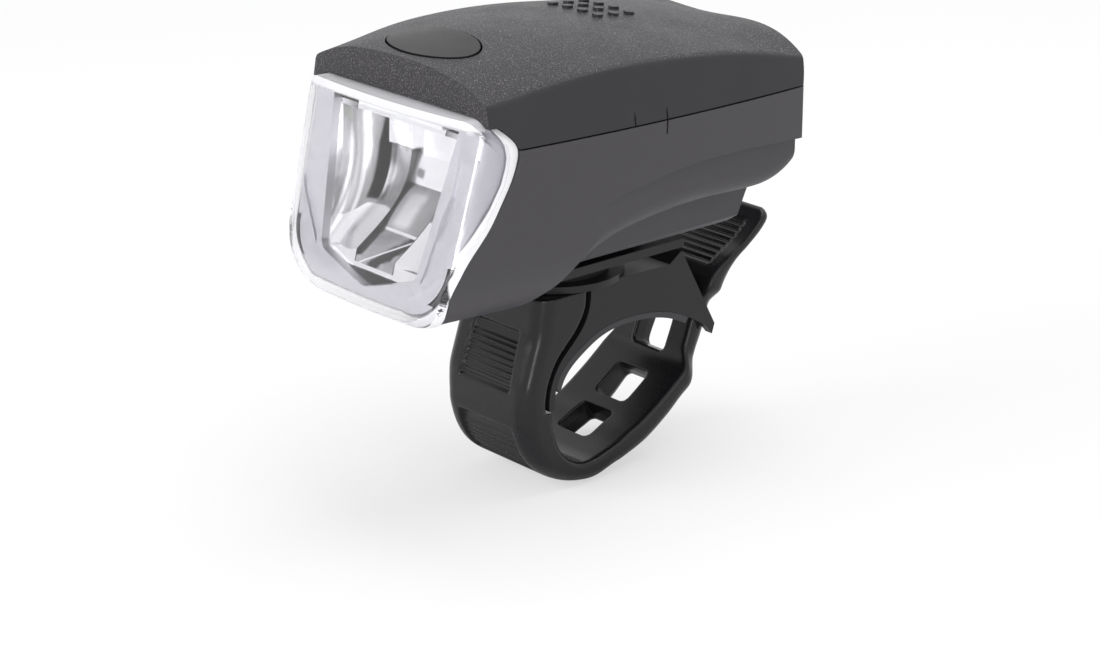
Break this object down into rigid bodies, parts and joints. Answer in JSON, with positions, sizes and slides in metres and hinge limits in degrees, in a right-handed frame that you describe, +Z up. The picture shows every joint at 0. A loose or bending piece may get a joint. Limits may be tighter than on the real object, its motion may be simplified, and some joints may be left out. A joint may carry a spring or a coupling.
{
  "type": "bicycle headlight",
  "caption": "Battery bicycle headlight with clear lens, faceted mirror, top button and slide-off cover, on a quick-release swivel bracket held to the handlebar by a rubber strap with windows.",
  "frame": {"origin": "axis of the handlebar that the saddle sits on, under the middle of the lamp's width", "axes": "+X across the lamp along the handlebar, the beam leaves towards -Y, +Z up"},
  "size_m": [0.0444, 0.0726, 0.0689],
  "materials": {
    "housing_plastic": "satin, very fine texture",
    "cover_plastic": "spark-eroded texture on the crown, satin sides",
    "bracket_plastic": "satin",
    "lens_clear": "clear polished plastic",
    "bezel_plastic": "bright satin",
    "mirror_coat": "vacuum-metallised mirror",
    "led_chip": "phosphor",
    "board_white": "solder mask",
    "sink_aluminium": "machined",
    "tray_plastic": "moulded",
    "board_green": "solder mask",
    "screw_steel": "zinc plated",
    "cell_can": "plain sleeve",
    "contact_metal": "nickel plated",
    "switch_body": "moulded",
    "button_smoke": "smoky translucent, polished",
    "seal_rubber": "matte",
    "strap_rubber": "satin moulded rubber"
  },
  "bodies": {
    "bracket": {"bracket_saddle": "bracket_plastic", "saddle_liner": "seal_rubber", "strap_root": "strap_rubber", "strap_pin": "screw_steel", "swivel_screw": "screw_steel"},
    "rail": {"rail_plate": "bracket_plastic", "swivel_washer": "tray_plastic"},
    "lamp": {"lower_housing": "housing_plastic", "lens_cover": "lens_clear", "lens_gasket": "seal_rubber", "bezel": "bezel_plastic", "reflector": "mirror_coat", "led_emitter": "led_chip", "led_board": "board_white", "heat_sink": "sink_aluminium", "battery_tray": "tray_plastic", "main_board": "board_green", "housing_screws": "screw_steel", "battery_cell_1": "cell_can", "battery_cell_2": "cell_can", "battery_cell_3": "cell_can", "front_contacts": "contact_metal", "rear_springs": "contact_metal"},
    "cover": {"top_cover": "cover_plastic", "button_membrane": "seal_rubber", "switch_board": "board_green", "tact_switch": "switch_body"},
    "button": {"power_button": "button_smoke"},
    "band": {"strap_band": "strap_rubber"},
    "tail": {"strap_tail": "strap_rubber"}
  },
  "joints": [
    {"name": "lamp_swivel", "type": "hinge", "parent": "bracket", "child": "rail", "pos_m": [0, -0.0068, 0.0283], "axis": [0, 0, 1], "range_deg": [-15, 15]},
    {"name": "quick_release_slide", "type": "slide", "parent": "rail", "child": "lamp", "axis": [0, 1, 0], "range_m": [-0.0325, 0]},
    {"name": "cover_slide", "type": "slide", "parent": "lamp", "child": "cover", "axis": [0, 1, 0], "range_m": [0, 0.0057]},
    {"name": "button_press", "type": "slide", "parent": "cover", "child": "button", "axis": [0, 0.1392, -0.9903], "range_m": [0, 0.0006], "stiffness_N_per_m": 800},
    {"name": "strap_band_hinge", "type": "hinge", "parent": "bracket", "child": "band", "pos_m": [0, -0.006, -0.00565], "axis": [1, 0, 0], "range_deg": [-50, 0], "stiffness_Nm_per_rad": 0.02},
    {"name": "strap_tail_hinge", "type": "hinge", "parent": "band", "child": "tail", "pos_m": [0, 0.01395, 0.004], "axis": [1, 0, 0], "range_deg": [-72, 0]}
  ],
  "couplings": [
    {"joint": "strap_tail_hinge", "follows": "strap_band_hinge", "ratio": 1.2}
  ]
}
